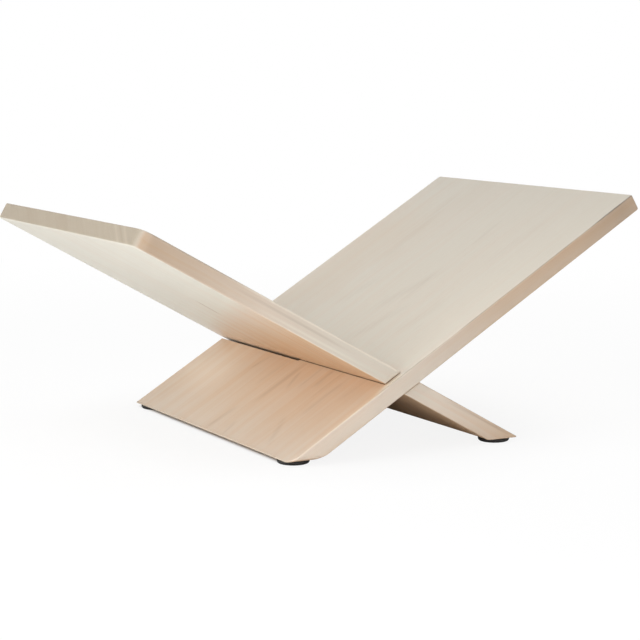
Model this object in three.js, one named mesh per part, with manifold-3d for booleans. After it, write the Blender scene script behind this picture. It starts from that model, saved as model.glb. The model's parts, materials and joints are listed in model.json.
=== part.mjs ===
// X-shaped bookstand: two wooden boards that slot into one another and stand on round rubber feet.
//
// Millimetres, +Z up. X runs across the X shape, Y along the line where the boards cross, from the
// near edge (low Y) to the far edge. The origin is on the floor, under the middle of the whole stand.
//
// The right board rises to the right and stands at the left; the left board rises to the left and
// stands at the right. A board's own frame is S along its length, with 0 at the crossing and the top
// end at high S, Y across its width, and N out of its upper face, with 0 at mid thickness.

import * as THREE from 'three';
import { mergeVertices } from 'three/addons/utils/BufferGeometryUtils.js';
import Module from 'manifold-3d';

// Boards
const BOARD_LENGTH = 305;
const BOARD_WIDTH = 250;
const BOARD_THICKNESS = 12;
const RIGHT_TILT = 31.2;
const LEFT_TILT = 29.2;
const CROSSING_RISE = 45.3;
const CORNER_RADIUS = 4;
const EASED_EDGE = 1.2;
const HEEL_RADIUS = 15;
const TIP_RADIUS = 0.5;

// The halving joint
const LEFT_SETBACK = 4;
const SLOT_LENGTH = 126;
const SLOT_SEAT_GAP = 0.3;
const SLOT_SLACK = 1.5;

// Feet
const FOOT_DIAMETER = 21.5;
const FOOT_HEIGHT = 2.5;
const FOOT_RIM_RADIUS = 1.8;
const FRONT_LEFT_FOOT_INSET = 16.5;
const FRONT_RIGHT_FOOT_INSET = 11.5;
const BACK_FOOT_INSET = 12;
const ADHESIVE_DIAMETER = 18;
const ADHESIVE_THICKNESS = 0.4;

// Facets on each round stretch
const EASED_STEPS = 3;
const CORNER_STEPS = 5;
const HEEL_STEPS = 6;
const TIP_STEPS = 2;
const RIM_STEPS = 4;
const FOOT_SIDES = 48;

// How far a cutting solid runs on past what it cuts
const OVERCUT = 5;

const SOLE_HEIGHT = FOOT_HEIGHT + ADHESIVE_THICKNESS;
const CROSSING_HEIGHT = SOLE_HEIGHT + CROSSING_RISE;
const HALF_THICKNESS = BOARD_THICKNESS / 2;
const NEAR_EDGE = -(BOARD_WIDTH + LEFT_SETBACK) / 2;

const wood = { color: 0xd4bfa2, roughness: 0.55, metalness: 0 };
const rubber = { color: 0x191816, roughness: 0.75, metalness: 0 };
const adhesive = { color: 0xd9d7d0, roughness: 0.6, metalness: 0 };

// side is 1 for the board that rises to the right and -1 for the one that rises to the left.
const rightBoard = {
  side: 1,
  tilt: THREE.MathUtils.degToRad(RIGHT_TILT),
  near: NEAR_EDGE,
  slot: [NEAR_EDGE + BOARD_WIDTH - SLOT_LENGTH, NEAR_EDGE + BOARD_WIDTH + OVERCUT],
};
const leftBoard = {
  side: -1,
  tilt: THREE.MathUtils.degToRad(LEFT_TILT),
  near: NEAR_EDGE + LEFT_SETBACK,
  slot: [NEAR_EDGE + LEFT_SETBACK - OVERCUT, NEAR_EDGE + LEFT_SETBACK + SLOT_LENGTH],
};

// S of the board's top end, so that its centre line measures BOARD_LENGTH from there to the sole.
function topEnd({ tilt }) {
  return BOARD_LENGTH - CROSSING_RISE / Math.sin(tilt);
}

// How far the board's top end reaches to its own side of the crossing, round its eased edge.
function sideReach(board) {
  const run = (topEnd(board) - EASED_EDGE) * Math.cos(board.tilt);
  return run + (HALF_THICKNESS - EASED_EDGE) * Math.sin(board.tilt) + EASED_EDGE;
}

const CROSSING_X = (sideReach(leftBoard) - sideReach(rightBoard)) / 2;

// The point at S and N of a board, as X and Z.
function place({ side, tilt }, s, n) {
  const across = s * Math.cos(tilt) - n * Math.sin(tilt);
  const rise = s * Math.sin(tilt) + n * Math.cos(tilt);
  return new THREE.Vector2(CROSSING_X + side * across, CROSSING_HEIGHT + rise);
}

// S where the level N of a board comes down to its sole.
function soleEnd({ tilt }, n) {
  return -(CROSSING_RISE + n * Math.cos(tilt)) / Math.sin(tilt);
}

const wasm = await Module();
wasm.setup();

function toSolid(geometry) {
  geometry.deleteAttribute('normal');
  geometry.deleteAttribute('uv');
  const merged = mergeVertices(geometry, 1e-4);
  return new wasm.Manifold(new wasm.Mesh({
    numProp: 3,
    vertProperties: merged.attributes.position.array,
    triVerts: merged.index.array,
  }));
}

function toGeometry(solid) {
  const mesh = solid.getMesh();
  const geometry = new THREE.BufferGeometry();
  geometry.setAttribute('position', new THREE.BufferAttribute(mesh.vertProperties, 3));
  geometry.setIndex(new THREE.BufferAttribute(mesh.triVerts, 1));
  const faceted = geometry.toNonIndexed();
  faceted.computeVertexNormals();
  return faceted;
}

// An outline whose corners are rounded, each by an arc that touches the two sides that meet there.
function roundedOutline(corners) {
  const origin = new THREE.Vector2();
  return corners.flatMap(({ at, radius, steps }, i) => {
    const back = corners.at(i - 1).at.clone().sub(at).normalize();
    const ahead = corners[(i + 1) % corners.length].at.clone().sub(at).normalize();
    const halfAngle = Math.acos(back.dot(ahead)) / 2;
    const inward = back.clone().add(ahead).normalize();
    const centre = inward.multiplyScalar(radius / Math.sin(halfAngle)).add(at);
    const reach = radius / Math.tan(halfAngle);
    const start = back.multiplyScalar(reach).add(at).sub(centre);
    const end = ahead.multiplyScalar(reach).add(at).sub(centre);
    const turn = Math.atan2(start.cross(end), start.dot(end));
    return Array.from({ length: steps + 1 }, (_, step) =>
      start.clone().rotateAround(origin, (turn * step) / steps).add(centre));
  });
}

// A prism along Y with an outline in X and Z.
function prismAlongY(outline, [from, to]) {
  const geometry = new THREE.ExtrudeGeometry(new THREE.Shape(outline), {
    depth: to - from,
    bevelEnabled: false,
  });
  geometry.rotateX(Math.PI / 2);
  geometry.translate(0, to, 0);
  return toSolid(geometry);
}

// A board seen along Y: square top end, rounded heel where the underside meets the sole, fine tip.
function sideProfile(board) {
  const top = topEnd(board);
  const corner = (s, n, radius, steps) => ({ at: place(board, s, n), radius, steps });
  const outline = roundedOutline([
    corner(soleEnd(board, HALF_THICKNESS), HALF_THICKNESS, TIP_RADIUS, TIP_STEPS),
    corner(soleEnd(board, -HALF_THICKNESS), -HALF_THICKNESS, HEEL_RADIUS, HEEL_STEPS),
    corner(top, -HALF_THICKNESS, EASED_EDGE, EASED_STEPS),
    corner(top, HALF_THICKNESS, EASED_EDGE, EASED_STEPS),
  ]);
  return prismAlongY(outline, [board.near, board.near + BOARD_WIDTH]);
}

// A board seen square on: rounded corners, with every edge of both faces eased.
function facePlate(board) {
  const low = soleEnd(board, HALF_THICKNESS);
  const high = topEnd(board);
  const corner = (s, y) => ({
    at: new THREE.Vector2(s, y),
    radius: CORNER_RADIUS,
    steps: CORNER_STEPS,
  });
  const outline = roundedOutline([
    corner(low, 0),
    corner(high, 0),
    corner(high, BOARD_WIDTH),
    corner(low, BOARD_WIDTH),
  ]);
  const geometry = new THREE.ExtrudeGeometry(new THREE.Shape(outline), {
    depth: BOARD_THICKNESS - 2 * EASED_EDGE,
    bevelThickness: EASED_EDGE,
    bevelSize: EASED_EDGE,
    bevelOffset: -EASED_EDGE,
    bevelSegments: EASED_STEPS,
  });
  geometry.translate(0, -BOARD_WIDTH / 2, EASED_EDGE - HALF_THICKNESS);
  geometry.rotateY(-board.tilt);
  if (board.side < 0) geometry.rotateZ(Math.PI);
  geometry.translate(CROSSING_X, board.near + BOARD_WIDTH / 2, CROSSING_HEIGHT);
  return toSolid(geometry);
}

// A board seen from its end: the sole's near and far edges eased as the others are.
function endProfile(board) {
  const far = board.near + BOARD_WIDTH;
  const above = CROSSING_HEIGHT + BOARD_LENGTH;
  const corner = (y, z) => ({ at: new THREE.Vector2(y, z), radius: EASED_EDGE, steps: EASED_STEPS });
  const outline = roundedOutline([
    corner(board.near, SOLE_HEIGHT),
    corner(far, SOLE_HEIGHT),
    corner(far, above),
    corner(board.near, above),
  ]);
  const geometry = new THREE.ExtrudeGeometry(new THREE.Shape(outline), {
    depth: 2 * BOARD_LENGTH,
    bevelEnabled: false,
  });
  const yzxFromXyz = new THREE.Matrix4().set(0, 0, 1, 0, 1, 0, 0, 0, 0, 1, 0, 0, 0, 0, 0, 1);
  geometry.applyMatrix4(yzxFromXyz);
  geometry.translate(-BOARD_LENGTH, 0, 0);
  return toSolid(geometry);
}

// The room that a board leaves for the one that passes through it: tight over the passing board's
// upper face, which carries the weight, and slack under it.
function slotFor(passing, span) {
  const crossingAngle = rightBoard.tilt + leftBoard.tilt;
  const reach = BOARD_THICKNESS / Math.sin(crossingAngle) + OVERCUT;
  const upper = HALF_THICKNESS + SLOT_SEAT_GAP;
  const lower = -HALF_THICKNESS - SLOT_SLACK;
  const corners = [[-reach, lower], [reach, lower], [reach, upper], [-reach, upper]];
  return prismAlongY(corners.map(([s, n]) => place(passing, s, n)), span);
}

function makeBoard(board, passing) {
  const blank = sideProfile(board).intersect(facePlate(board)).intersect(endProfile(board));
  return toGeometry(blank.subtract(slotFor(passing, board.slot)));
}

// A round foot with a rounded lower rim, standing on the floor.
function makeFoot() {
  const radius = FOOT_DIAMETER / 2;
  const rim = Array.from({ length: RIM_STEPS + 1 }, (_, step) => {
    const angle = (step / RIM_STEPS) * (Math.PI / 2);
    const out = radius - FOOT_RIM_RADIUS + FOOT_RIM_RADIUS * Math.sin(angle);
    return new THREE.Vector2(out, FOOT_RIM_RADIUS * (1 - Math.cos(angle)));
  });
  const profile = [
    new THREE.Vector2(0, 0),
    ...rim,
    new THREE.Vector2(radius, FOOT_HEIGHT),
    new THREE.Vector2(0, FOOT_HEIGHT),
  ];
  return new THREE.LatheGeometry(profile, FOOT_SIDES).rotateX(Math.PI / 2);
}

function makeAdhesive() {
  const radius = ADHESIVE_DIAMETER / 2;
  const disc = new THREE.CylinderGeometry(radius, radius, ADHESIVE_THICKNESS, FOOT_SIDES);
  return disc.rotateX(Math.PI / 2);
}

// X of the middle of a board's sole, from the rounded tip to the corner that the heel is made from.
function soleMiddle(board) {
  const tip = place(board, soleEnd(board, HALF_THICKNESS), HALF_THICKNESS);
  const heel = place(board, soleEnd(board, -HALF_THICKNESS), -HALF_THICKNESS);
  const tipLoss = TIP_RADIUS * (1 / Math.tan(board.tilt / 2) - 1);
  return (tip.x + heel.x + board.side * tipLoss) / 2;
}

const stand = new THREE.Group();

function add(name, geometry, look, x = 0, y = 0, z = 0) {
  const mesh = new THREE.Mesh(geometry, new THREE.MeshStandardMaterial(look));
  mesh.name = name;
  mesh.position.set(x, y, z);
  stand.add(mesh);
}

add('right_board', makeBoard(rightBoard, leftBoard), wood);
add('left_board', makeBoard(leftBoard, rightBoard), wood);

const feet = [
  { name: 'front_left', board: rightBoard, y: rightBoard.near + FRONT_LEFT_FOOT_INSET },
  { name: 'back_left', board: rightBoard, y: rightBoard.near + BOARD_WIDTH - BACK_FOOT_INSET },
  { name: 'front_right', board: leftBoard, y: leftBoard.near + FRONT_RIGHT_FOOT_INSET },
  { name: 'back_right', board: leftBoard, y: leftBoard.near + BOARD_WIDTH - BACK_FOOT_INSET },
];
for (const { name, board, y } of feet) {
  const x = soleMiddle(board);
  add(`${name}_foot`, makeFoot(), rubber, x, y, 0);
  add(`${name}_adhesive`, makeAdhesive(), adhesive, x, y, FOOT_HEIGHT + ADHESIVE_THICKNESS / 2);
}

export default stand;
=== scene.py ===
"""The looks of an X-shaped bookstand: pale wooden boards slotted into one another, on black feet.

Places are in metres in the stand's own frame: X across the X shape, Y along the line where the boards
cross, Z up, with the origin on the floor. A board also has a frame of its own. Its S runs along the
grain from the crossing (0) to the top end, its Y across the width from the edge that isn't slotted,
and its N out of the upper face, with 0 at mid thickness. Both boards have the same shape in it.
"""

import json
import math
from collections import namedtuple

import bpy
import numpy as np
from bpy.props import FloatProperty, FloatVectorProperty, IntProperty, PointerProperty
from bpy.types import Operator, Panel, PropertyGroup
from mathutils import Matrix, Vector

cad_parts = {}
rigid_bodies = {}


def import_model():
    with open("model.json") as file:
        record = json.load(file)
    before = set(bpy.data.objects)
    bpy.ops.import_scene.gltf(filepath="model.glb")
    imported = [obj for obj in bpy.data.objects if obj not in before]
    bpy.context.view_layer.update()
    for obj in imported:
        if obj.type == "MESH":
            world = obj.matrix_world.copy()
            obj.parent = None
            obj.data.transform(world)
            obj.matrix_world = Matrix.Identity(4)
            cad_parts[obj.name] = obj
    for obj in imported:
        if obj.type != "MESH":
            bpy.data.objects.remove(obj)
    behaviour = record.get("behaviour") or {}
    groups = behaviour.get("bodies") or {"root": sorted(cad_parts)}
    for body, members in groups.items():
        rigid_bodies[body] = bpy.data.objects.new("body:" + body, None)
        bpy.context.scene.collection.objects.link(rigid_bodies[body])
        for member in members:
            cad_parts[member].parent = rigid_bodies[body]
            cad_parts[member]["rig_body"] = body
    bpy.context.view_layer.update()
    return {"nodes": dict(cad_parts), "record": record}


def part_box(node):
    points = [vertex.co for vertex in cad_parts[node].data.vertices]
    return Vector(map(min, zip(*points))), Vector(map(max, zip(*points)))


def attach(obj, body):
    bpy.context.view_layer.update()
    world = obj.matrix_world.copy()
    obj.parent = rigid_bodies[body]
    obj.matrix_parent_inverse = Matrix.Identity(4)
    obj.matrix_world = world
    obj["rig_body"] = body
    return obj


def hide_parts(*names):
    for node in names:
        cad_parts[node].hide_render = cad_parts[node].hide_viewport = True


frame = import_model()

bl_info = {
    "name": "Slot-together bookstand",
    "version": (1, 0, 0),
    "blender": (4, 5, 0),
    "location": "View3D > Sidebar > Bookstand",
    "description": "Finishes a bookstand of two slotted wooden boards on rubber feet",
    "category": "Add Mesh",
}

MM = 0.001


def linear(red, green, blue):
    """A colour read as display values from 0 to 255, as the linear values that Blender mixes."""
    def decode(value):
        share = value / 255
        return share / 12.92 if share <= 0.04045 else ((share + 0.055) / 1.055) ** 2.4
    return tuple(decode(value) for value in (red, green, blue))


# ---------------------------------------------------------------------------------------------------
# Sizes and colours


class BoardSizes(PropertyGroup):
    thickness: FloatProperty(
        name="Thickness", description="Thickness of both boards",
        default=12 * MM, unit="LENGTH", subtype="DISTANCE")
    corner_radius: FloatProperty(
        name="Corner Radius", description="Rounding of the boards' top corners, seen square on",
        default=2 * MM, unit="LENGTH", subtype="DISTANCE")
    worn_corner_radius: FloatProperty(
        name="Worn Corner Radius", description="Rounding of the left board's near top corner",
        default=9 * MM, unit="LENGTH", subtype="DISTANCE")
    toe_radius: FloatProperty(
        name="Toe Radius", description="Rounding of the corner by the foot on the edge without the slot",
        default=8 * MM, unit="LENGTH", subtype="DISTANCE")
    slot_toe_radius: FloatProperty(
        name="Slot Toe Radius", description="Rounding of the corner by the foot on the slotted edge",
        default=1.2 * MM, unit="LENGTH", subtype="DISTANCE")
    eased_edge: FloatProperty(
        name="Eased Edge", description="Rounding of the long edges and of the top end",
        default=1.2 * MM, unit="LENGTH", subtype="DISTANCE")
    heel_radius: FloatProperty(
        name="Heel Radius", description="Rounding where the underside runs into the sole",
        default=15 * MM, unit="LENGTH", subtype="DISTANCE")
    tip_radius: FloatProperty(
        name="Tip Radius", description="Rounding where the upper face meets the sole",
        default=0.5 * MM, unit="LENGTH", subtype="DISTANCE")
    slot_length: FloatProperty(
        name="Slot Length", description="Length of each board's slot",
        default=126 * MM, unit="LENGTH", subtype="DISTANCE")
    seat_gap: FloatProperty(
        name="Seat Gap", description="Room in a slot over the other board's upper face",
        default=0.3 * MM, unit="LENGTH", subtype="DISTANCE")
    slack: FloatProperty(
        name="Slot Slack", description="Room in a slot under the other board's underside",
        default=1.5 * MM, unit="LENGTH", subtype="DISTANCE")
    slot_edge: FloatProperty(
        name="Slot Edge", description="Rounding of the slot's edges",
        default=0.45 * MM, unit="LENGTH", subtype="DISTANCE")
    mouth_radius: FloatProperty(
        name="Slot Mouth Radius", description="Rounding of the corners at the slot's open end",
        default=1.6 * MM, unit="LENGTH", subtype="DISTANCE")
    slot_end_radius: FloatProperty(
        name="Slot End Radius", description="Rounding in the corners of the slot's closed end",
        default=1 * MM, unit="LENGTH", subtype="DISTANCE")
    corner_steps: IntProperty(
        name="Corner Steps", description="Facets round each corner", default=10, min=2)
    edge_steps: IntProperty(
        name="Edge Steps", description="Facets round each edge", default=8, min=2)


class FootSizes(PropertyGroup):
    rim_radius: FloatProperty(
        name="Rim Radius", description="Rounding of a foot's lower rim",
        default=1.8 * MM, unit="LENGTH", subtype="DISTANCE")
    top_radius: FloatProperty(
        name="Top Radius", description="Rounding of a foot's upper edge",
        default=0.3 * MM, unit="LENGTH", subtype="DISTANCE")
    film_radius: FloatProperty(
        name="Film Edge", description="Rounding of the adhesive film's edges",
        default=0.08 * MM, unit="LENGTH", subtype="DISTANCE")
    sides: IntProperty(name="Sides", description="Facets round a foot", default=96, min=12)


class Finish(PropertyGroup):
    pale_wood: FloatVectorProperty(
        name="Pale Wood", description="Colour of the wood where it is palest",
        default=linear(218, 210, 195), subtype="COLOR", min=0, max=1)
    # Painted light: the underside's palest wood is paler and greyer than the upper face's, for the white
    # floor's light on it.
    under_wood_floor_lit: FloatVectorProperty(
        name="Underside Wood", description="Colour of the palest wood on the underside",
        default=linear(220, 216, 203), subtype="COLOR", min=0, max=1)
    rosy_wood: FloatVectorProperty(
        name="Rosy Wood", description="Colour of slightly warm wood",
        default=linear(219, 203, 186), subtype="COLOR", min=0, max=1)
    tan_wood: FloatVectorProperty(
        name="Tan Wood", description="Colour of the wood where it is warmest",
        default=linear(211, 176, 140), subtype="COLOR", min=0, max=1)
    wood_mark: FloatVectorProperty(
        name="Wood Mark", description="Colour of the dark grain marks",
        default=linear(146, 116, 88), subtype="COLOR", min=0, max=1)
    # Pale streaks in the wood, and also a painted highlight along the near top arrises of the left board
    # and of the right board's leg.
    pale_streak_and_highlight: FloatVectorProperty(
        name="Sanded Edge", description="Colour of pale streaks and sanded edges",
        default=linear(248, 238, 221), subtype="COLOR", min=0, max=1)
    # Painted shade: this dark colour stands for the shade inside the slots, along the line where the
    # boards rest on each other, and along the right board's near top arris.
    slot_shade: FloatVectorProperty(
        name="Slot Wall", description="Colour of the walls of the slots, darkened by the cutter",
        default=linear(58, 36, 24), subtype="COLOR", min=0, max=1)
    end_grain: FloatVectorProperty(
        name="End Grain", description="Colour of wood cut across the grain",
        default=linear(180, 169, 151), subtype="COLOR", min=0, max=1)
    rubber: FloatVectorProperty(
        name="Rubber", description="Colour of the feet",
        default=linear(34, 33, 32), subtype="COLOR", min=0, max=1)
    film: FloatVectorProperty(
        name="Film", description="Colour of the adhesive film",
        default=linear(217, 214, 207), subtype="COLOR", min=0, max=1)


class Studio(PropertyGroup):
    camera_place: FloatVectorProperty(
        name="Camera Place", description="Where the camera stands",
        default=(-0.62093, -1.15111, 0.25362), unit="LENGTH", subtype="TRANSLATION")
    camera_azimuth: FloatProperty(
        name="Camera Azimuth", description="Turn of the camera about the vertical, from looking along +Y",
        default=math.radians(-28.54), subtype="ANGLE")
    camera_elevation: FloatProperty(
        name="Camera Elevation", description="How far the camera looks down",
        default=math.radians(7.78), subtype="ANGLE")
    lens: FloatProperty(
        name="Lens", description="Focal length on a 36 mm wide sensor",
        default=104.277, unit="CAMERA")
    floor_radius: FloatProperty(
        name="Floor Radius", description="Radius of the round floor",
        default=4, unit="LENGTH", subtype="DISTANCE")
    sky_light: FloatProperty(
        name="Sky Light", description="Strength of the even light from above", default=0.1, min=0)
    horizon_light: FloatProperty(
        name="Horizon Light", description="Strength of the light from low down all round",
        default=0.3, min=0)
    floor_light: FloatProperty(
        name="Floor Light", description="Strength of the light that the lit floor gives by itself",
        default=0.3, min=0)
    overhead_light: FloatProperty(
        name="Overhead Light", description="Power of the large lamp overhead, in watts",
        default=6.3, min=0, unit="POWER")
    left_light: FloatProperty(
        name="Left Light", description="Power of the large lamp at the left, in watts",
        default=9.8, min=0, unit="POWER")
    front_light: FloatProperty(
        name="Front Light", description="Power of the low lamp in front, in watts",
        default=1.43, min=0, unit="POWER")
    upper_front_light: FloatProperty(
        name="Upper Front Light", description="Power of the lamp high up in front, in watts",
        default=1.4, min=0, unit="POWER")
    back_light: FloatProperty(
        name="Back Light", description="Power of the lamp behind, in watts",
        default=0.87, min=0, unit="POWER")


class Bookstand(PropertyGroup):
    boards: PointerProperty(type=BoardSizes)
    feet: PointerProperty(type=FootSizes)
    finish: PointerProperty(type=Finish)
    studio: PointerProperty(type=Studio)


# ---------------------------------------------------------------------------------------------------
# Meshes


def new_piece(name, points, faces, material):
    """A smooth mesh object at the origin, from an array of points and a list of faces."""
    mesh = bpy.data.meshes.new(name)
    mesh.from_pydata(points, [], faces)
    mesh.shade_smooth()
    mesh.materials.append(material)
    piece = bpy.data.objects.new(name, mesh)
    bpy.context.scene.collection.objects.link(piece)
    return piece


def grid_faces(rows, columns):
    """Four-sided faces between neighbouring rows of a grid whose columns close into a ring."""
    row, column = np.meshgrid(np.arange(rows - 1), np.arange(columns), indexing="ij")
    ahead = (column + 1) % columns
    corners = (row * columns + column, (row + 1) * columns + column,
               (row + 1) * columns + ahead, row * columns + ahead)
    return np.stack(corners, axis=-1).reshape(-1, 4).tolist()


def unit(vectors):
    return vectors / np.linalg.norm(vectors, axis=-1, keepdims=True)


def turned(start, end, share):
    """Swings start towards end about their common centre: the sines of what is left and of what is
    done, over the sine of the whole angle, weigh the two. They are equally long arrays of vectors."""
    dots = np.sum(start * end, axis=-1, keepdims=True)
    whole = np.arccos(np.clip(dots / np.sum(start * start, axis=-1, keepdims=True), -1, 1))
    return (np.sin((1 - share) * whole) * start + np.sin(share * whole) * end) / np.sin(whole)


def fillet(first, second, radius, share):
    """Points of an arc that rounds the corner at zero between two directions. It starts on the first
    and ends on the second, at radius over the tangent of half the angle between them."""
    half = np.arccos(np.sum(first * second, axis=-1, keepdims=True)) / 2
    reach = radius / np.tan(half)
    centre = unit(first + second) * radius / np.sin(half)
    return turned(reach * first - centre, reach * second - centre, share) + centre


# ---------------------------------------------------------------------------------------------------
# Where the boards lie


Board = namedtuple("Board", "node side tilt near width top")
# An extra point lies this far past each end of an arc, so that smooth shading stays on the arc.
FACE_LEAD = 0.12 * MM
WALL_LEAD = 0.3 * MM
PLAN_LEAD = 0.4 * MM
RIM_LEAD = 0.05 * MM
# Facets round each rim of a disc.
RIM_STEPS = 8


def mount(name):
    return next(one for one in frame["record"]["mounts"] if one["name"] == name)


def crossing(sizes):
    """X and Z where the boards' mid planes cross. Each board's book rest gives a point of its upper
    face and the way it faces, and its mid plane lies half a thickness under that."""
    rests = [mount("right_book_rest"), mount("left_book_rest")]
    facing = np.array([(rest["axis"][0], rest["axis"][2]) for rest in rests])
    places = np.array([(rest["pos_m"][0], rest["pos_m"][2]) for rest in rests])
    return np.linalg.solve(facing, np.sum(facing * places, axis=1) - sizes.thickness / 2)


def board(node, sizes):
    """A board's tilt, near edge and width, and S of its top end, which reaches the side of its box
    round an eased edge."""
    low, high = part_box(node)
    facing = mount(node.replace("board", "book_rest"))["axis"]
    tilt = math.asin(abs(facing[0]))
    side = -math.copysign(1, facing[0])
    outermost = high.x if side > 0 else low.x
    reach = abs(outermost - crossing(sizes)[0])
    edge = sizes.eased_edge
    run = reach - edge - (sizes.thickness / 2 - edge) * math.sin(tilt)
    return Board(node, side, tilt, low.y, high.y - low.y, edge + run / math.cos(tilt))


def board_placement(one, sizes):
    """The board's frame: where its S, Y and N are zero, and its turn as X, Y and Z angles."""
    across, rise = crossing(sizes)
    if one.side > 0:
        return (across, one.near, rise), (0, -one.tilt, 0)
    return (across, one.near + one.width, rise), (0, -one.tilt, math.pi)


def board_points(one, sizes):
    """A board's surface as rows of points, each row going once round it.

    Seen square on, the outline is a rectangle with a slot cut in from one long edge, and it is worked
    out on the upper face and on the underside. A wall is the straight run from a point of the upper
    outline to the same point of the lower one. It leans in by k for each step down, which slopes the
    sole and the slot. The upper and lower rims are arcs that touch the face and the wall.
    """
    half = sizes.thickness / 2
    left_tilt, right_tilt = (math.asin(abs(mount(name)["axis"][0])) for name in
                             ("left_book_rest", "right_book_rest"))
    angle = left_tilt + right_tilt
    sole_drop = crossing(sizes)[1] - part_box(one.node)[0].z

    def corners(level):
        sole = -(sole_drop + level * math.cos(one.tilt)) / math.sin(one.tilt)
        slot_high = (half + sizes.seat_gap - level * math.cos(angle)) / math.sin(angle)
        slot_low = (-half - sizes.slack - level * math.cos(angle)) / math.sin(angle)
        depth = one.width - sizes.slot_length
        return np.array([
            (sole, 0), (one.top, 0), (one.top, one.width), (slot_high, one.width),
            (slot_high, depth), (slot_low, depth), (slot_low, one.width), (sole, one.width)])

    mouth, slot_end = sizes.mouth_radius, sizes.slot_end_radius
    slotted_corner = sizes.worn_corner_radius if one.side < 0 else sizes.corner_radius
    plan = np.array([sizes.toe_radius, sizes.corner_radius, slotted_corner, mouth, slot_end,
                     slot_end, mouth, sizes.slot_toe_radius]).reshape(-1, 1, 1)
    eased, slot = sizes.eased_edge, sizes.slot_edge
    rims = np.array([[eased] * 3 + [slot] * 3 + [eased, sizes.tip_radius],
                     [eased] * 3 + [slot] * 3 + [eased, sizes.heel_radius]])

    share = np.linspace(0, 1, sizes.corner_steps + 1).reshape(1, -1, 1)
    outlines = []
    for level in (half, -half):
        at = corners(level)
        back = unit(np.roll(at, 1, axis=0) - at)[:, None]
        ahead = unit(np.roll(at, -1, axis=0) - at)[:, None]
        arc = fillet(back, ahead, plan, share)
        before = arc[:, :1] + back * PLAN_LEAD
        after = arc[:, -1:] + ahead * PLAN_LEAD
        outlines.append(np.concatenate([before, arc, after], axis=1) + at[:, None])
    upper, lower = (outline.reshape(-1, 2) for outline in outlines)

    inward_after = np.stack([-ahead[..., 1], ahead[..., 0]], axis=-1)
    inward_before = np.roll(inward_after, 1, axis=0)
    inward = turned(inward_before, inward_after, share)
    inward = np.concatenate([inward_before, inward, inward_after], axis=1).reshape(-1, 2)
    along = np.stack([inward[:, 1], -inward[:, 0]], axis=-1)

    eased_share = np.pad(share.ravel(), 1, mode="edge")
    eased_share = eased_share * eased_share * (3 - 2 * eased_share)
    rim = np.roll(rims, 1, axis=1)[..., None] * (1 - eased_share) + rims[..., None] * eased_share
    upper_rim, lower_rim = (radius.reshape(-1, 1, 1) for radius in rim)

    slope = (lower - upper) / sizes.thickness
    lean = np.sum(slope * inward, axis=1)
    slide = np.sum(slope * along, axis=1)[:, None]

    # A rim is worked out in a plane square to the outline, as how far in and how far down.
    face = np.broadcast_to([1.0, 0.0], (len(lean), 1, 2))
    down = unit(np.stack([lean, np.ones_like(lean)], axis=-1))[:, None]
    turns = np.linspace(0, 1, sizes.edge_steps + 1).reshape(1, -1, 1)
    top_arc = fillet(face, down, upper_rim, turns)
    low_arc = fillet(-down, face, lower_rim, turns)
    low_corner = np.stack([lean, np.ones_like(lean)], axis=-1)[:, None] * sizes.thickness
    low_arc = low_arc + low_corner
    section = np.concatenate([
        top_arc[:, :1] + face * FACE_LEAD, top_arc, top_arc[:, -1:] + down * WALL_LEAD,
        low_arc[:, :1] - down * WALL_LEAD, low_arc, low_arc[:, -1:] + face * FACE_LEAD], axis=1)
    inset, drop = section[..., 0], section[..., 1]
    flat = (upper[:, None] + inset[..., None] * inward[:, None]
            + (slide * drop)[..., None] * along[:, None])
    local = np.concatenate([flat, (half - drop)[..., None]], axis=-1)
    return local.transpose(1, 0, 2)


def board_axes(one):
    """The directions of a board's S, Y and N in the stand's frame, as rows."""
    cos, sin = math.cos(one.tilt), math.sin(one.tilt)
    return np.array([(one.side * cos, 0, sin), (0, one.side, 0), (-one.side * sin, 0, cos)])


def make_board(one, sizes, material):
    rows = board_points(one, sizes)
    count, around = rows.shape[:2]
    origin = np.array(board_placement(one, sizes)[0])
    axes = board_axes(one)
    points = rows.reshape(-1, 3) @ axes + origin
    upper_face = list(range(around))
    underside = list(range((count - 1) * around, count * around))[::-1]
    faces = grid_faces(count, around) + [upper_face, underside]
    piece = new_piece(f"{one.node}_wood", points, faces, material)
    mark_facing(piece.data, axes)
    return piece


def mark_facing(mesh, axes):
    """Keeps at each point which way the surface faces: the shares of its normal along S, Y and N."""
    normals = np.empty(len(mesh.vertices) * 3, np.float32)
    mesh.vertex_normals.foreach_get("vector", normals)
    facing = normals.reshape(-1, 3) @ axes.T
    layer = mesh.attributes.new("facing", "FLOAT_VECTOR", "POINT")
    layer.data.foreach_set("vector", facing.astype(np.float32).ravel())


def lathe_points(profile, centre, sides):
    """A profile of distances from an upright axis and heights, turned once round that axis. The
    distance is the radius of a circle of points at that height."""
    angle = np.arange(sides) * (2 * math.pi / sides)
    radius, height = profile[:, :1], profile[:, 1:]
    ring = np.stack([radius * np.cos(angle) + centre[0], radius * np.sin(angle) + centre[1],
                     height + np.zeros(sides)], axis=-1)
    return ring.reshape(-1, 3)


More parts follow.
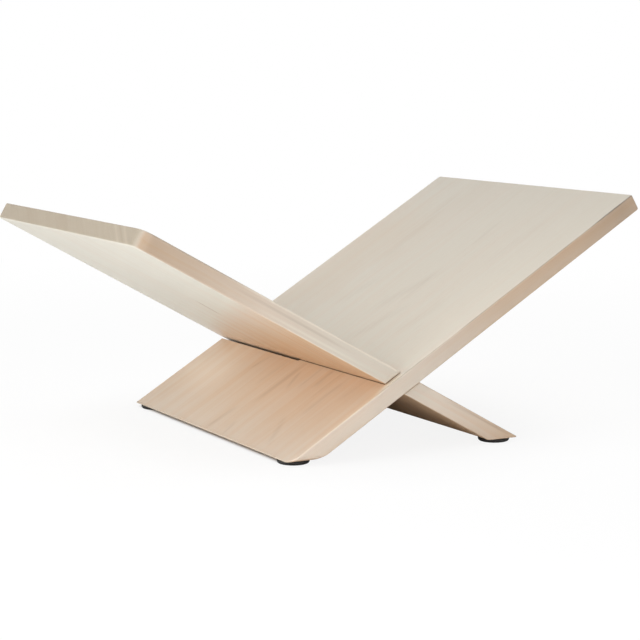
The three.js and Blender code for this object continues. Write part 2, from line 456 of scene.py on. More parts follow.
def make_disc(name, node, lower_radius, upper_radius, sides, material):
    """A round disc in the space of its CAD node, with both rims rounded by arcs. The profile runs
    from the flat top out round the upper rim, down, and in round the lower rim to the flat underside."""
    low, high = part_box(node)
    radius = (high.x - low.x) / 2
    centre = ((low.x + high.x) / 2, (low.y + high.y) / 2)
    turns = np.linspace(0, math.pi / 2, RIM_STEPS + 1)
    upper = np.stack([radius - upper_radius * (1 - np.sin(turns)),
                      high.z - upper_radius * (1 - np.cos(turns))], axis=-1)
    lower = np.stack([radius - lower_radius * (1 - np.cos(turns)),
                      low.z + lower_radius * (1 - np.sin(turns))], axis=-1)
    inner_top = [(radius - upper_radius - RIM_LEAD, high.z)]
    inner_low = [(radius - lower_radius - RIM_LEAD, low.z)]
    profile = np.concatenate([inner_top, upper, lower, inner_low])
    points = lathe_points(profile, centre, sides)
    count = len(profile)
    top = list(range(sides))
    bottom = list(range((count - 1) * sides, count * sides))[::-1]
    return new_piece(name, points, grid_faces(count, sides) + [top, bottom], material)


# ---------------------------------------------------------------------------------------------------
# Materials. Places on a board are in millimetres of its own frame.


LAYER_LEAN = 1.5
LAYER_DRIFT = 14.0
SEEDS = {"right_board": 0.0, "left_board": 410.0}
# How fast each part of the grain changes along S, Y and N. In bands and lines, Y counts layers.
DRIFT_SCALES = (0.008, 0.02, 0.02)
BAND_SCALES = (0.0035, 0.085, 0.01)
LINE_SCALES = (0.008, 0.32, 0.04)
PORE_SCALES = (0.14, 2.4, 2.4)
SPECK_SCALES = (1.5, 1.9, 1.9)
# The noise levels at which pores and specks start to show and are full.
PORE_LIMITS = (0.56, 0.70)
SPECK_LIMITS = (0.40, 0.66)
# How much of its facing lies along S, Y and N where the surface turns into an end, edge or upper face.
FACES_END = (0.60, 0.98)
FACES_EDGE = (0.35, 0.85)
FACES_UP = (-0.5, 0.5)

# How warm the wood is along S: on the upper face, on the underside, and on each board's long edges. Below
# the crossing on the upper face, the warmth is partly the wood's own tone and partly painted shade under
# the other board. On the underside near and below the crossing, it is painted warm bounce light and shade
# from the other board.
UPPER_TONES_AND_SHADE = ((-92, 0.40), (-60, 0.60), (-30, 0.70), (-10, 0.84), (10, 0.04), (217, 0.02))
UNDER_SHADE_TONES = ((-30, 0.95), (-8, 0.72), (10, 0.48), (28, 0.02), (42, 0.0), (217, 0.0))
UNDER_SHADE_SLANT = 0.45
EDGE_TONES = {
    "right_board": ((-95, 0.42), (-40, 0.42), (10, 0.32), (40, 0.44), (90, 0.68), (160, 0.74),
                    (217, 0.74)),
    "left_board": ((-98, 0.80), (-80, 0.62), (-40, 0.42), (10, 0.18), (50, 0.16), (100, 0.36),
                   (160, 0.60), (212, 0.76)),
}
# Painted light and shade along S, where 0.5 leaves the colour as it is. On the upper face it is lighter
# just past the crossing and darker towards the top end, and on the long edges it is darker towards the
# top ends.
UPPER_PAINTED_LIGHT = ((-92, 0.5), (-30, 0.50), (-8, 0.54), (-4, 0.62), (3, 0.71), (60, 0.66), (120, 0.55),
               (217, 0.38))
EDGE_PAINTED_LIGHT = {
    "right_board": ((-97, 0.71), (-42, 0.71), (10, 0.58), (40, 0.52), (95, 0.49), (160, 0.43),
                    (205, 0.24), (217, 0.32)),
    "left_board": ((-98, 0.62), (-82, 0.66), (-30, 0.70), (10, 0.56), (40, 0.53), (115, 0.49),
                   (165, 0.31), (212, 0.18)),
}
PAINTED_LIGHT_SPAN = 0.8
ROSY_AT = 0.38
# The streaks show less where the wood is pale.
STREAK_SHOWS = ((0.0, 0.75), (0.5, 1.0))
STREAK_RANGE = (0.34, 0.66, -0.10, 0.12)
LINES_SHARE = 0.35
PORE_DEPTH = 0.06
END_STREAK_RANGE = (0.42, 0.62, 0.0, 0.07)
END_SPECK_DEPTH = 0.14
WOOD_ROUGHNESS = (0.3, 0.7, 0.42, 0.52)
END_ROUGHER = 0.22
PORE_HEIGHT = -0.6
WOOD_BUMP = {"Strength": 0.12, "Distance": 0.2 * MM}
# The slot's walls are painted dark as shade. This fades out along S, by its closed end and by its mouth.
SLOT_NEAR, SLOT_FAR = 20.0, 24.0
SLOT_END_STEPS = (-2.0, -1.0)
MOUTH_STEPS = (4.0, 2.0)

MARK_WAVER = 1.0
MARK_FADE = 0.3
MARK_SCALES = (0.035, 0.03, 0.03)
MARK_BREAKS = (0.36, 0.58, 0.45, 1.0)
FACE, BACK = 6.0, -6.0
# How far marks spread along S, Y and N.
SOFT = (4.5, 4.5, 4.5)
FINE = (3.0, 3.0, 3.0)
ARRIS = (1.3, 1.3, 1.1)
LENGTHWISE = (4.0, 4.0, 1.5)
HAIRLINE = (0.9, 0.9, 0.85)
CREST = (2.2, 2.2, 2.0)
WIDE = (9.0, 9.0, 4.0)
BROAD = (60.0, 60.0, 4.0)
BESIDE = (3.0, 4.0, 3.0)

# The marks that each board shows: two ends, how far a mark spreads, its strength and its colour.
MARKS = {
    "right_board": (
        ((-8, 112, FACE), (-64, 114, FACE), SOFT, 0.22, "wood_mark"),
        ((-64, 125, FACE), (-97, 130, FACE), SOFT, 0.22, "wood_mark"),
        ((-18, 108, FACE), (-42, 97, FACE), FINE, 0.20, "wood_mark"),
        ((-8, 72, FACE), (-33, 72, FACE), SOFT, 0.20, "wood_mark"),
        ((-12, 46, FACE), (-60, 48, FACE), SOFT, 0.18, "wood_mark"),
        ((-12, 161, FACE), (-34, 167, FACE), FINE, 0.18, "wood_mark"),
        ((-60, 65, FACE), (-92, 40, FACE), SOFT, 0.13, "wood_mark"),
        ((-78, 107, FACE), (-96, 102, FACE), FINE, 0.14, "wood_mark"),
        ((-6, 88, FACE), (-38, 88, FACE), FINE, 0.15, "wood_mark"),
        ((-6, 59, FACE), (-44, 60, FACE), FINE, 0.15, "wood_mark"),
        ((-6, 28, FACE), (-40, 30, FACE), FINE, 0.13, "wood_mark"),
        ((-10, 134, FACE), (-48, 137, FACE), FINE, 0.13, "wood_mark"),
        ((44, 119, FACE), (116, 92, FACE), WIDE, 0.09, "wood_mark"),
        ((62, 96, FACE), (102, 98, FACE), SOFT, 0.08, "wood_mark"),
        ((14, 103, FACE), (72, 83, FACE), WIDE, 0.07, "wood_mark"),
        ((96, 182, FACE), (208, 194, FACE), WIDE, 0.05, "wood_mark"),
        ((134, 98, FACE), (176, 104, FACE), SOFT, 0.07, "wood_mark"),
        ((46, 168, FACE), (92, 156, FACE), WIDE, 0.06, "wood_mark"),
        ((110, 60, FACE), (190, 52, FACE), WIDE, 0.04, "wood_mark"),
        ((30, 60, FACE), (84, 52, FACE), WIDE, 0.04, "wood_mark"),
        ((-20, 225, FACE), (200, 225, FACE), BROAD, 0.16, "tan_wood"),
        ((20, 215, FACE), (-76, 215, FACE), BROAD, 0.24, "pale_streak_and_highlight"),
        ((-24, 1.5, FACE), (14, 1.5, FACE), BESIDE, 0.75, "pale_wood"),
        # Painted shade: dark lines along the right board's near top arris.
        ((178, 0, FACE), (236, 0, FACE), ARRIS, 0.70, "slot_shade"),
        ((-70, 0, FACE), (300, 0, FACE), HAIRLINE, 0.80, "slot_shade"),
        # Painted highlight: a faint pale line along the right board's near top arris on the leg.
        ((-100, 0, FACE), (-16, 0, FACE), ARRIS, 0.10, "pale_streak_and_highlight"),
    ),
    "left_board": (
        ((112, 143, BACK), (84, 139, BACK), FINE, 0.55, "wood_mark"),
        ((150, 250, 2.0), (36, 250, 1.2), LENGTHWISE, 0.26, "wood_mark"),
        ((124, 250, -3.0), (20, 250, -2.6), LENGTHWISE, 0.30, "pale_streak_and_highlight"),
        # Painted highlight: a pale line along the left board's near top arris.
        ((160, 250, FACE), (-50, 250, FACE), CREST, 1.0, "pale_streak_and_highlight"),
        ((230, 250, FACE), (124, 250, FACE), ARRIS, 0.60, "wood_mark"),
        ((212, -8, FACE), (212, 258, FACE), ARRIS, 0.40, "wood_mark"),
        ((110, 250, BACK), (0, 250, BACK), ARRIS, 0.20, "pale_streak_and_highlight"),
        ((78, 224, BACK), (8, 220, BACK), SOFT, 0.16, "wood_mark"),
        ((70, 200, BACK), (10, 204, BACK), FINE, 0.16, "wood_mark"),
        ((-30, 250, 3.6), (-104, 250, 4.6), LENGTHWISE, 0.26, "wood_mark"),
    ),
}
# Painted shade: a dark line where the other board rests, the same on both boards.
SEAM_SHADE = ((-10.6, 4.6, FACE), (-10.6, 125.0, FACE))
SEAM_SHADE_REACH = (0.8, 0.8, 0.9)
SEAM_SHADE_SHOWS = 0.85
SEAM_SHADE_FADE = 0.01
# Growth rings across the top end: Y where one meets mid thickness, half its width, strength, colour.
END_RINGS = {
    "right_board": (),
    "left_board": ((214.8, 3.2, 0.10, "pale_streak_and_highlight"), (221.8, 3.4, 0.14, "wood_mark"),
                   (228.8, 3.4, 0.11, "pale_streak_and_highlight"), (60.0, 22.0, 0.10, "wood_mark"),
                   (120.0, 18.0, 0.08, "wood_mark")),
}


def add_node(tree, kind, inputs=None, **settings):
    """Adds a node. Each input is a plain value or another node's output."""
    made = tree.nodes.new(kind)
    for name, value in settings.items():
        setattr(made, name, value)
    for key, value in (inputs or {}).items():
        if isinstance(value, bpy.types.NodeSocket):
            tree.links.new(value, made.inputs[key])
        else:
            made.inputs[key].default_value = value
    return made


def calculate(tree, operation, *values):
    return add_node(tree, "ShaderNodeMath", dict(enumerate(values)), operation=operation).outputs[0]


def combine(tree, operation, first, second):
    return add_node(tree, "ShaderNodeVectorMath", {0: first, 1: second}, operation=operation).outputs[0]


def mix_colour(tree, share, first, second):
    inputs = {0: share, 6: opaque(first), 7: opaque(second)}
    return add_node(tree, "ShaderNodeMix", inputs, data_type="RGBA").outputs[2]


def blend(tree, share, first, second):
    """A number that goes from first to second as the share goes from 0 to 1."""
    return add_node(tree, "ShaderNodeMix", {0: share, 2: first, 3: second}, data_type="FLOAT").outputs[0]


def opaque(colour):
    return colour if isinstance(colour, bpy.types.NodeSocket) else (*colour, 1.0)


def remap(tree, value, low, high, to_low=0.0, to_high=1.0):
    """Eases a value from to_low to to_high as it goes from low to high."""
    inputs = {"Value": value, "From Min": low, "From Max": high, "To Min": to_low, "To Max": to_high}
    made = add_node(tree, "ShaderNodeMapRange", inputs, interpolation_type="SMOOTHSTEP")
    return made.outputs["Result"]


def ramp(tree, value, low, high):
    """Goes straight from 0 to 1 as the value goes from low to high, and no further."""
    inputs = {"Value": value, "From Min": low, "From Max": high}
    return add_node(tree, "ShaderNodeMapRange", inputs).outputs["Result"]


def follow(tree, value, stops):
    """Runs straight from one stop to the next. A stop is a value and the level that it has there."""
    first, last = stops[0][0], stops[-1][0]
    made = add_node(tree, "ShaderNodeValToRGB", {0: ramp(tree, value, first, last)})
    points = made.color_ramp.elements
    for point, (_, level) in zip(points, (stops[0], stops[-1])):
        point.color = (level, level, level, 1.0)
    for place, level in stops[1:-1]:
        points.new((place - first) / (last - first)).color = (level, level, level, 1.0)
    return made.outputs[0]


def stretched(tree, place, scales):
    """The place scaled by its own factor along S, Y and N."""
    return combine(tree, "MULTIPLY", place, scales)


def noise(tree, place, scales, detail=2.0, roughness=0.5):
    inputs = {"Vector": stretched(tree, place, scales), "Scale": 1.0, "Detail": detail,
              "Roughness": roughness}
    return add_node(tree, "ShaderNodeTexNoise", inputs).outputs[0]


def new_group(name, inputs, outputs):
    """A shader node group with named sockets: each input has a type and a default."""
    tree = bpy.data.node_groups.new(name, "ShaderNodeTree")
    for label, kind, default in inputs:
        socket = tree.interface.new_socket(name=label, in_out="INPUT", socket_type=kind)
        if default is not None:
            socket.default_value = default
    for label, kind in outputs:
        tree.interface.new_socket(name=label, in_out="OUTPUT", socket_type=kind)
    return tree, tree.nodes.new("NodeGroupInput").outputs, tree.nodes.new("NodeGroupOutput").inputs


def place_group(tree, group, **inputs):
    return add_node(tree, "ShaderNodeGroup", inputs, node_tree=group).outputs


def grain_group():
    """Straight grain in three sizes, all solid, so that it runs through from face to edge to end.

    The growth layers are flat sheets along S that lean by LAYER_LEAN across the thickness. Broad
    bands and fine lines are noise drawn out along S on a coordinate that counts these layers, and
    slow noise bends them a little. The pores are short, thin dashes of noise above a threshold, and
    the specks, for the end grain, are dots made in the same way.
    """
    tree, given, put = new_group(
        "Straight Grain",
        [("Place", "NodeSocketVector", None), ("Seed", "NodeSocketFloat", 0.0)],
        [("Bands", "NodeSocketFloat"), ("Lines", "NodeSocketFloat"), ("Pores", "NodeSocketFloat"),
         ("Specks", "NodeSocketFloat")])
    shift = add_node(tree, "ShaderNodeCombineXYZ", {1: given["Seed"]}).outputs[0]
    place = combine(tree, "ADD", given["Place"], shift)
    parts = add_node(tree, "ShaderNodeSeparateXYZ", {0: place}).outputs
    drift = calculate(tree, "MULTIPLY", noise(tree, place, DRIFT_SCALES), LAYER_DRIFT)
    layer = calculate(tree, "MULTIPLY_ADD", parts["Z"], LAYER_LEAN, parts["Y"])
    layer = calculate(tree, "ADD", layer, drift)
    through = add_node(tree, "ShaderNodeCombineXYZ", {0: parts["X"], 1: layer, 2: parts["Z"]}).outputs[0]
    tree.links.new(noise(tree, through, BAND_SCALES, detail=3.0, roughness=0.55), put["Bands"])
    tree.links.new(noise(tree, through, LINE_SCALES, detail=3.0, roughness=0.6), put["Lines"])
    pores = noise(tree, place, PORE_SCALES, roughness=0.6)
    tree.links.new(remap(tree, pores, *PORE_LIMITS), put["Pores"])
    specks = noise(tree, place, SPECK_SCALES, roughness=0.6)
    tree.links.new(remap(tree, specks, *SPECK_LIMITS), put["Specks"])
    return tree


def mark_group():
    """One grain mark: a soft streak along the line between two points of the board. The distance from
    the line is counted in Reach, which is how far the mark spreads along S, Y and N, and Waver shifts
    it by a share of that. The mask falls off with this distance, and towards both ends over the share
    of the line that Fade gives."""
    tree, given, put = new_group(
        "Grain Mark",
        [(name, "NodeSocketVector", None) for name in ("Place", "From", "To", "Reach")]
        + [("Waver", "NodeSocketFloat", 0.0), ("Strength", "NodeSocketFloat", 1.0),
           ("Fade", "NodeSocketFloat", MARK_FADE)],
        [("Mask", "NodeSocketFloat")])
    line = combine(tree, "SUBTRACT", given["To"], given["From"])
    off = combine(tree, "SUBTRACT", given["Place"], given["From"])
    along = add_node(tree, "ShaderNodeVectorMath", {0: off, 1: line}, operation="DOT_PRODUCT")
    whole = add_node(tree, "ShaderNodeVectorMath", {0: line, 1: line}, operation="DOT_PRODUCT")
    share = calculate(tree, "DIVIDE", along.outputs["Value"], whole.outputs["Value"])
    nearest = add_node(tree, "ShaderNodeVectorMath", {0: line, "Scale": share}, operation="SCALE")
    apart = combine(tree, "SUBTRACT", off, nearest.outputs[0])
    apart = combine(tree, "DIVIDE", apart, given["Reach"])
    shift = add_node(tree, "ShaderNodeCombineXYZ", {1: given["Waver"]}).outputs[0]
    apart = combine(tree, "ADD", apart, shift)
    distance = add_node(tree, "ShaderNodeVectorMath", {0: apart}, operation="LENGTH").outputs["Value"]
    mask = calculate(tree, "MULTIPLY", remap(tree, distance, 0.0, 1.0, 1.0, 0.0), given["Strength"])
    for left in (share, calculate(tree, "SUBTRACT", 1.0, share)):
        mask = calculate(tree, "MULTIPLY", mask, remap(tree, left, 0.0, given["Fade"]))
    tree.links.new(mask, put["Mask"])
    return tree


def board_material(one, sizes, finish, grain, mark):
    """Sanded wood with a thin satin finish. The grain goes by the board's own frame.

    How warm the wood is, from 0 for pale to 1 for tan, follows stops along S on the upper face and on
    the long edges. Below the crossing on the upper face, this is partly the wood's own tone and partly
    painted shade under the other board. On the underside it follows S less a share of Y, and near the
    crossing it is painted warm bounce light and shade from the other board. How light it is follows stops
    too, as painted light and shade. The grain and then the board's own marks are laid over this, and a
    few of these marks are painted shade and highlights along the arrises. The slot's walls are painted
    dark as shade.
    """
    material = bpy.data.materials.new(f"{one.node}_wood")
    material.use_nodes = True
    tree = material.node_tree
    shader = tree.nodes["Principled BSDF"]
    place, turn = board_placement(one, sizes)
    local = add_node(tree, "ShaderNodeMapping", {
        "Vector": add_node(tree, "ShaderNodeTexCoord").outputs["Object"],
        "Location": place, "Rotation": turn, "Scale": (MM, MM, MM)}, vector_type="TEXTURE").outputs[0]
    facing = add_node(tree, "ShaderNodeAttribute", attribute_name="facing").outputs["Vector"]
    at = add_node(tree, "ShaderNodeSeparateXYZ", {0: local}).outputs
    faced = add_node(tree, "ShaderNodeSeparateXYZ", {0: facing}).outputs
    is_end = remap(tree, calculate(tree, "ABSOLUTE", faced["X"]), *FACES_END)
    is_edge = remap(tree, calculate(tree, "ABSOLUTE", faced["Y"]), *FACES_EDGE)
    is_under = remap(tree, faced["Z"], *FACES_UP, 1.0, 0.0)
    fibre = place_group(tree, grain, Place=local, Seed=SEEDS[one.node])

    # Painted shade and warm bounce light: the warmth below the crossing on the upper face is partly
    # painted shade, and the warmth on the underside near the crossing is painted.
    slanted = calculate(tree, "MULTIPLY_ADD", at["Y"], -UNDER_SHADE_SLANT, at["X"])
    face = blend(tree, is_under, follow(tree, at["X"], UPPER_TONES_AND_SHADE), follow(tree, slanted, UNDER_SHADE_TONES))
    warmth_and_shade = blend(tree, is_edge, face, follow(tree, at["X"], EDGE_TONES[one.node]))
    streaks = blend(tree, LINES_SHARE, fibre["Bands"], fibre["Lines"])
    shows = follow(tree, warmth_and_shade, STREAK_SHOWS)
    streaked = blend(tree, shows, 0.0, remap(tree, streaks, *STREAK_RANGE))
    warmth_and_shade = calculate(tree, "ADD", warmth_and_shade, streaked)
    # The underside's pale colour carries painted light from the white floor.
    palest = mix_colour(tree, is_under, finish.pale_wood, finish.under_wood_floor_lit)
    colour = mix_colour(tree, ramp(tree, warmth_and_shade, 0.0, ROSY_AT), palest, finish.rosy_wood)
    colour = mix_colour(tree, ramp(tree, warmth_and_shade, ROSY_AT, 1.0), colour, finish.tan_wood)
    # Painted light and shade: the colour is made lighter or darker along S.
    light = blend(tree, is_under, follow(tree, at["X"], UPPER_PAINTED_LIGHT), 0.5)
    light = blend(tree, is_edge, light, follow(tree, at["X"], EDGE_PAINTED_LIGHT[one.node]))
    light = calculate(tree, "MULTIPLY_ADD", light, PAINTED_LIGHT_SPAN, 1.0 - PAINTED_LIGHT_SPAN / 2)
    colour = combine(tree, "MULTIPLY", colour, light)
    pores = calculate(tree, "MULTIPLY", fibre["Pores"], PORE_DEPTH)
    colour = mix_colour(tree, pores, colour, finish.wood_mark)

    end_streaks = remap(tree, streaks, *END_STREAK_RANGE)
    end_colour = mix_colour(tree, end_streaks, finish.end_grain, finish.wood_mark)
    specks = calculate(tree, "MULTIPLY", fibre["Specks"], END_SPECK_DEPTH)
    end_colour = mix_colour(tree, specks, end_colour, finish.wood_mark)
    layer = calculate(tree, "MULTIPLY_ADD", at["Z"], LAYER_LEAN, at["Y"])
    for ring, half_width, strength, tint in END_RINGS[one.node]:
        off = calculate(tree, "ABSOLUTE", calculate(tree, "SUBTRACT", layer, ring))
        mask = remap(tree, off, 0.0, half_width, strength, 0.0)
        end_colour = mix_colour(tree, mask, end_colour, getattr(finish, tint))
    colour = mix_colour(tree, is_end, colour, end_colour)

    waver = calculate(tree, "MULTIPLY_ADD", noise(tree, local, MARK_SCALES, 1.0), MARK_WAVER,
                      -MARK_WAVER / 2)
    broken = remap(tree, fibre["Lines"], *MARK_BREAKS)
    for start, end, reach, strength, tint in MARKS[one.node]:
        mask = place_group(tree, mark, Place=local, From=start, To=end, Reach=reach, Waver=waver,
                           Strength=strength)["Mask"]
        if tint == "wood_mark":
            mask = calculate(tree, "MULTIPLY", mask, broken)
        colour = mix_colour(tree, mask, colour, getattr(finish, tint))

    # Painted shade along the line where the other board rests.
    seam_shade = place_group(tree, mark, Place=local, From=SEAM_SHADE[0], To=SEAM_SHADE[1], Reach=SEAM_SHADE_REACH,
                         Strength=SEAM_SHADE_SHOWS, Fade=SEAM_SHADE_FADE)["Mask"]
    colour = mix_colour(tree, seam_shade, colour, finish.slot_shade)

    # Painted shade: the slot's walls are coloured dark. The slot is the only place that faces along S or
    # Y and lies this near the crossing.
    within = remap(tree, calculate(tree, "ABSOLUTE", at["X"]), SLOT_NEAR, SLOT_FAR, 1.0, 0.0)
    slot_end = (one.width - sizes.slot_length) / MM
    inside = remap(tree, at["Y"], *(slot_end + step for step in SLOT_END_STEPS))
    outside = remap(tree, at["Y"], *(one.width / MM - step for step in MOUTH_STEPS), 1.0, 0.0)
    turned_in = calculate(tree, "MAXIMUM", is_end, calculate(tree, "MULTIPLY", is_edge, outside))
    walls = calculate(tree, "MULTIPLY", calculate(tree, "MULTIPLY", within, inside), turned_in)
    colour = mix_colour(tree, walls, colour, finish.slot_shade)
    tree.links.new(colour, shader.inputs["Base Color"])

    roughness = remap(tree, fibre["Lines"], *WOOD_ROUGHNESS)
    roughness = calculate(tree, "MULTIPLY_ADD", is_end, END_ROUGHER, roughness)
    tree.links.new(roughness, shader.inputs["Roughness"])
    height = calculate(tree, "MULTIPLY_ADD", fibre["Pores"], PORE_HEIGHT, fibre["Lines"])
    bump = add_node(tree, "ShaderNodeBump", {"Height": height, **WOOD_BUMP})
    tree.links.new(bump.outputs[0], shader.inputs["Normal"])
    return material


PEBBLE_SCALES = (2600.0, 2600.0, 2600.0)
SCUFF_SCALES = (260.0, 260.0, 900.0)
SCUFF_LIMITS = (0.50, 0.78)
SCUFF_SHOWS = 0.5
SCUFF_LIGHTER = 2.6
RUBBER_ROUGHNESS = (0.3, 0.7, 0.58, 0.74)
RUBBER_BUMP = {"Strength": 0.35, "Distance": 0.1 * MM}
CLOUD_SCALES = (320.0, 320.0, 320.0)
CLOUD_LIMITS = (0.35, 0.7)
YELLOWING = (0.92, 0.86, 0.72)
FILM_ROUGHNESS = (0.3, 0.7, 0.35, 0.5)


def rubber_material(finish):
    """Moulded rubber: nearly black, matte, with a fine pebbled skin and a few paler scuffs."""
    material = bpy.data.materials.new("foot_rubber")
    material.use_nodes = True
    tree = material.node_tree
    shader = tree.nodes["Principled BSDF"]
    place = add_node(tree, "ShaderNodeTexCoord").outputs["Object"]
    pebbles = noise(tree, place, PEBBLE_SCALES)
    scuffs = noise(tree, place, SCUFF_SCALES, detail=3.0, roughness=0.65)
    scuffs = calculate(tree, "MULTIPLY", remap(tree, scuffs, *SCUFF_LIMITS), SCUFF_SHOWS)
    worn = tuple(min(1.0, SCUFF_LIGHTER * part) for part in finish.rubber)
    colour = mix_colour(tree, scuffs, finish.rubber, worn)
    tree.links.new(colour, shader.inputs["Base Color"])
    tree.links.new(remap(tree, pebbles, *RUBBER_ROUGHNESS), shader.inputs["Roughness"])
    bump = add_node(tree, "ShaderNodeBump", {"Height": pebbles, **RUBBER_BUMP})
    tree.links.new(bump.outputs[0], shader.inputs["Normal"])
    return material


def film_material(finish):
    """Off-white double-sided adhesive film: slightly uneven in colour, with a soft shine."""
    material = bpy.data.materials.new("foot_adhesive")
    material.use_nodes = True
    tree = material.node_tree
    shader = tree.nodes["Principled BSDF"]
    place = add_node(tree, "ShaderNodeTexCoord").outputs["Object"]
    clouds = noise(tree, place, CLOUD_SCALES, detail=3.0)
    yellowed = tuple(part * tint for part, tint in zip(finish.film, YELLOWING))
    colour = mix_colour(tree, remap(tree, clouds, *CLOUD_LIMITS), finish.film, yellowed)
    tree.links.new(colour, shader.inputs["Base Color"])
    tree.links.new(remap(tree, clouds, *FILM_ROUGHNESS), shader.inputs["Roughness"])
    return material


# ---------------------------------------------------------------------------------------------------
# Floor, light and camera


PAPER = (0.9, 0.9, 0.9)
# Distances along X, Y and Z, and the shares of them at which the floor's light starts and is full.
UNLIT_FLOOR = (0.13, 0.16, 1.0)
GLOW_FADE = (0.75, 1.5)
# Distances from the middle, and how white the camera sees the floor there.
WHITE_RANGE = (0.25, 1.2, 0.88, 1.0)
# The strip of floor under the right board's sole.
SOLE_STRIP = {"X": (-0.085, -0.063), "Y": (-0.111, 0.127)}
STRIP_FADE = 0.005
FLOOR_RINGS = 12
FLOOR_SIDES = 64
FLOOR_MIDDLE = 0.02
# The Z of a direction at which the horizon's light starts to give way to the sky's, and has done so.
SKY_RISE = (0.35, 0.75)
AIM = (0, 0, 0.05)
# Where each lamp hangs, and its size.
LAMPS = {
    "overhead": ((0.1, -0.1, 1.3), 1.2),
    "left": ((-1.3, -0.1, 0.45), 1.0),
    "front": ((-0.35, -0.65, 0.06), 0.35),
    "upper_front": ((-0.1, -0.9, 1.1), 0.7),
    "back": ((0.4, 1.2, 0.5), 0.8),
}
SENSOR_WIDTH = 36


def floor_material(glow):
    """White paper, lit from beneath all round the stand, that shows the stand's soft shadow. The
    camera sees it nearly as bright as the background, and fully so away from the stand. In a strip
    under the right board's sole the camera sees the paper itself, in the dark."""
    material = bpy.data.materials.new("paper_floor")
    material.use_nodes = True
    tree = material.node_tree
    tree.nodes.remove(tree.nodes["Principled BSDF"])
    place = add_node(tree, "ShaderNodeTexCoord").outputs["Object"]
    distance = add_node(tree, "ShaderNodeVectorMath", {0: place}, operation="LENGTH").outputs["Value"]
    paper = add_node(tree, "ShaderNodeBsdfDiffuse", {"Color": (*PAPER, 1.0)}).outputs[0]
    beside = add_node(tree, "ShaderNodeVectorMath", {0: combine(tree, "DIVIDE", place, UNLIT_FLOOR)},
                      operation="LENGTH").outputs["Value"]
    strength = calculate(tree, "MULTIPLY", remap(tree, beside, *GLOW_FADE), glow)
    lit = add_node(tree, "ShaderNodeEmission", {"Strength": strength}).outputs[0]
    paper = add_node(tree, "ShaderNodeAddShader", {0: paper, 1: lit}).outputs[0]
    white = add_node(tree, "ShaderNodeEmission", {"Strength": 1.0})
    parts = add_node(tree, "ShaderNodeSeparateXYZ", {0: place}).outputs
    under = 1.0
    for axis, (low, high) in SOLE_STRIP.items():
        under = calculate(tree, "MULTIPLY", under, remap(tree, parts[axis], low, low + STRIP_FADE))
        under = calculate(tree, "MULTIPLY", under,
                          remap(tree, parts[axis], high - STRIP_FADE, high, 1.0, 0.0))
    camera = add_node(tree, "ShaderNodeLightPath").outputs["Is Camera Ray"]
    share = calculate(tree, "MULTIPLY", camera, remap(tree, distance, *WHITE_RANGE))
    share = calculate(tree, "MULTIPLY", share, calculate(tree, "SUBTRACT", 1.0, under))
    surface = add_node(tree, "ShaderNodeMixShader", {0: share, 1: paper, 2: white.outputs[0]})
    tree.links.new(surface.outputs[0], tree.nodes["Material Output"].inputs["Surface"])
    return material


def seen_rays(tree):
    """1 for rays that the camera sees directly, in a mirror or through glass, and 0 for others."""
    rays = add_node(tree, "ShaderNodeLightPath").outputs
    seen = calculate(tree, "MAXIMUM", rays["Is Camera Ray"], rays["Is Glossy Ray"])
    return calculate(tree, "MAXIMUM", seen, rays["Is Transmission Ray"])


def make_floor(radius, glow):
    """A flat round sheet: rings of points whose distances grow evenly from the middle."""
    profile = np.zeros((FLOOR_RINGS, 2))
    profile[:, 0] = np.linspace(FLOOR_MIDDLE, 1, FLOOR_RINGS) * radius
    points = lathe_points(profile, (0, 0), FLOOR_SIDES)
    faces = grid_faces(FLOOR_RINGS, FLOOR_SIDES) + [list(range(FLOOR_SIDES))]
    floor = new_piece("paper_floor", points, faces, floor_material(glow))


def make_lamp(name, place, target, size, power):
    """A square lamp that the camera doesn't see, turned to face the target."""
    light = bpy.data.lights.new(name, "AREA")
    light.size = size
    light.energy = power
    lamp = bpy.data.objects.new(name, light)
    lamp.location = place
    away = np.array(place) - np.array(target)
    lamp.rotation_euler = (math.atan2(math.hypot(away[0], away[1]), away[2]), 0,
                           math.atan2(away[1], away[0]) + math.pi / 2)
    lamp.visible_camera = False
    bpy.context.scene.collection.objects.link(lamp)


def make_world(sky, horizon):
    """White behind the stand and in its reflections. As light, it is the sky's strength overhead and
    eases to the horizon's strength low down."""
    world = bpy.data.worlds.new("studio")
    world.use_nodes = True
    tree = world.node_tree
    background = tree.nodes["Background"]
    background.inputs["Color"].default_value = (1.0, 1.0, 1.0, 1.0)
    direction = add_node(tree, "ShaderNodeTexCoord").outputs["Generated"]
    rise = add_node(tree, "ShaderNodeSeparateXYZ", {0: direction}).outputs["Z"]
    level = remap(tree, rise, *SKY_RISE, horizon, sky)
    tree.links.new(calculate(tree, "MAXIMUM", level, seen_rays(tree)), background.inputs["Strength"])
    bpy.context.scene.world = world


# ---------------------------------------------------------------------------------------------------
# Operators


class BOOKSTAND_OT_boards(Operator):
    """Make the two slotted wooden boards"""
    bl_idname = "bookstand.boards"
    bl_label = "Make Boards"

    def execute(self, context):
        stand = context.scene.bookstand
        groups = grain_group(), mark_group()
        for node in ("right_board", "left_board"):
            one = board(node, stand.boards)
            material = board_material(one, stand.boards, stand.finish, *groups)
            piece = make_board(one, stand.boards, material)
            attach(piece, frame["nodes"][node]["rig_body"])
            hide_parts(node)
        return {"FINISHED"}


class BOOKSTAND_OT_feet(Operator):
    """Make the four round rubber feet"""
    bl_idname = "bookstand.feet"
    bl_label = "Make Feet"

    def execute(self, context):
        stand = context.scene.bookstand
        material = rubber_material(stand.finish)
        for node in sorted(name for name in frame["nodes"] if name.endswith("_foot")):
            piece = make_disc(f"{node}_rubber", node, stand.feet.rim_radius, stand.feet.top_radius,
                              stand.feet.sides, material)
            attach(piece, frame["nodes"][node]["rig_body"])
            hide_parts(node)
        return {"FINISHED"}


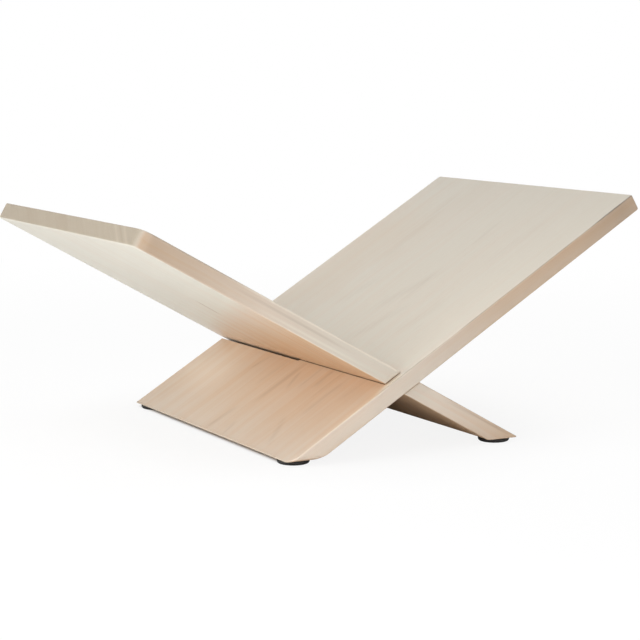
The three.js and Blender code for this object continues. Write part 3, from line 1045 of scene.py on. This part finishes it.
class BOOKSTAND_OT_films(Operator):
    """Make the adhesive films that hold the feet on the boards"""
    bl_idname = "bookstand.films"
    bl_label = "Make Adhesive Films"

    def execute(self, context):
        stand = context.scene.bookstand
        material = film_material(stand.finish)
        for node in sorted(name for name in frame["nodes"] if name.endswith("_adhesive")):
            piece = make_disc(f"{node}_film", node, stand.feet.film_radius, stand.feet.film_radius,
                              stand.feet.sides, material)
            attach(piece, frame["nodes"][node]["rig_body"])
            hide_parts(node)
        return {"FINISHED"}


class BOOKSTAND_OT_studio(Operator):
    """Make the floor, the lamps and the camera"""
    bl_idname = "bookstand.studio"
    bl_label = "Make Studio"

    def execute(self, context):
        studio = context.scene.bookstand.studio
        make_floor(studio.floor_radius, studio.floor_light)
        make_world(studio.sky_light, studio.horizon_light)
        for name, (place, size) in LAMPS.items():
            make_lamp(name, place, AIM, size, getattr(studio, f"{name}_light"))
        lens = bpy.data.cameras.new("camera")
        lens.lens = studio.lens
        lens.sensor_width = SENSOR_WIDTH
        camera = bpy.data.objects.new("camera", lens)
        camera.location = studio.camera_place
        camera.rotation_euler = (math.pi / 2 - studio.camera_elevation, 0, studio.camera_azimuth)
        context.scene.collection.objects.link(camera)
        context.scene.camera = camera
        context.scene.view_settings.view_transform = "Standard"
        return {"FINISHED"}


class BOOKSTAND_PT_panel(Panel):
    """Sizes, colours and steps of the bookstand"""
    bl_idname = "BOOKSTAND_PT_panel"
    bl_label = "Bookstand"
    bl_space_type = "VIEW_3D"
    bl_region_type = "UI"
    bl_category = "Bookstand"

    def draw(self, context):
        stand = context.scene.bookstand
        for part in (stand.boards, stand.feet, stand.finish, stand.studio):
            box = self.layout.box()
            for name in type(part).__annotations__:
                box.prop(part, name)
        for step in STEPS:
            self.layout.operator(step.bl_idname)


STEPS = (BOOKSTAND_OT_studio, BOOKSTAND_OT_boards, BOOKSTAND_OT_feet, BOOKSTAND_OT_films)
CLASSES = (BoardSizes, FootSizes, Finish, Studio, Bookstand, *STEPS, BOOKSTAND_PT_panel)


def register():
    for one in CLASSES:
        bpy.utils.register_class(one)
    bpy.types.Scene.bookstand = PointerProperty(type=Bookstand)


def unregister():
    del bpy.types.Scene.bookstand
    for one in reversed(CLASSES):
        bpy.utils.unregister_class(one)


def main():
    register()
    bpy.ops.bookstand.studio()
    bpy.ops.bookstand.boards()
    bpy.ops.bookstand.feet()
    bpy.ops.bookstand.films()


if __name__ == "__main__":
    main()
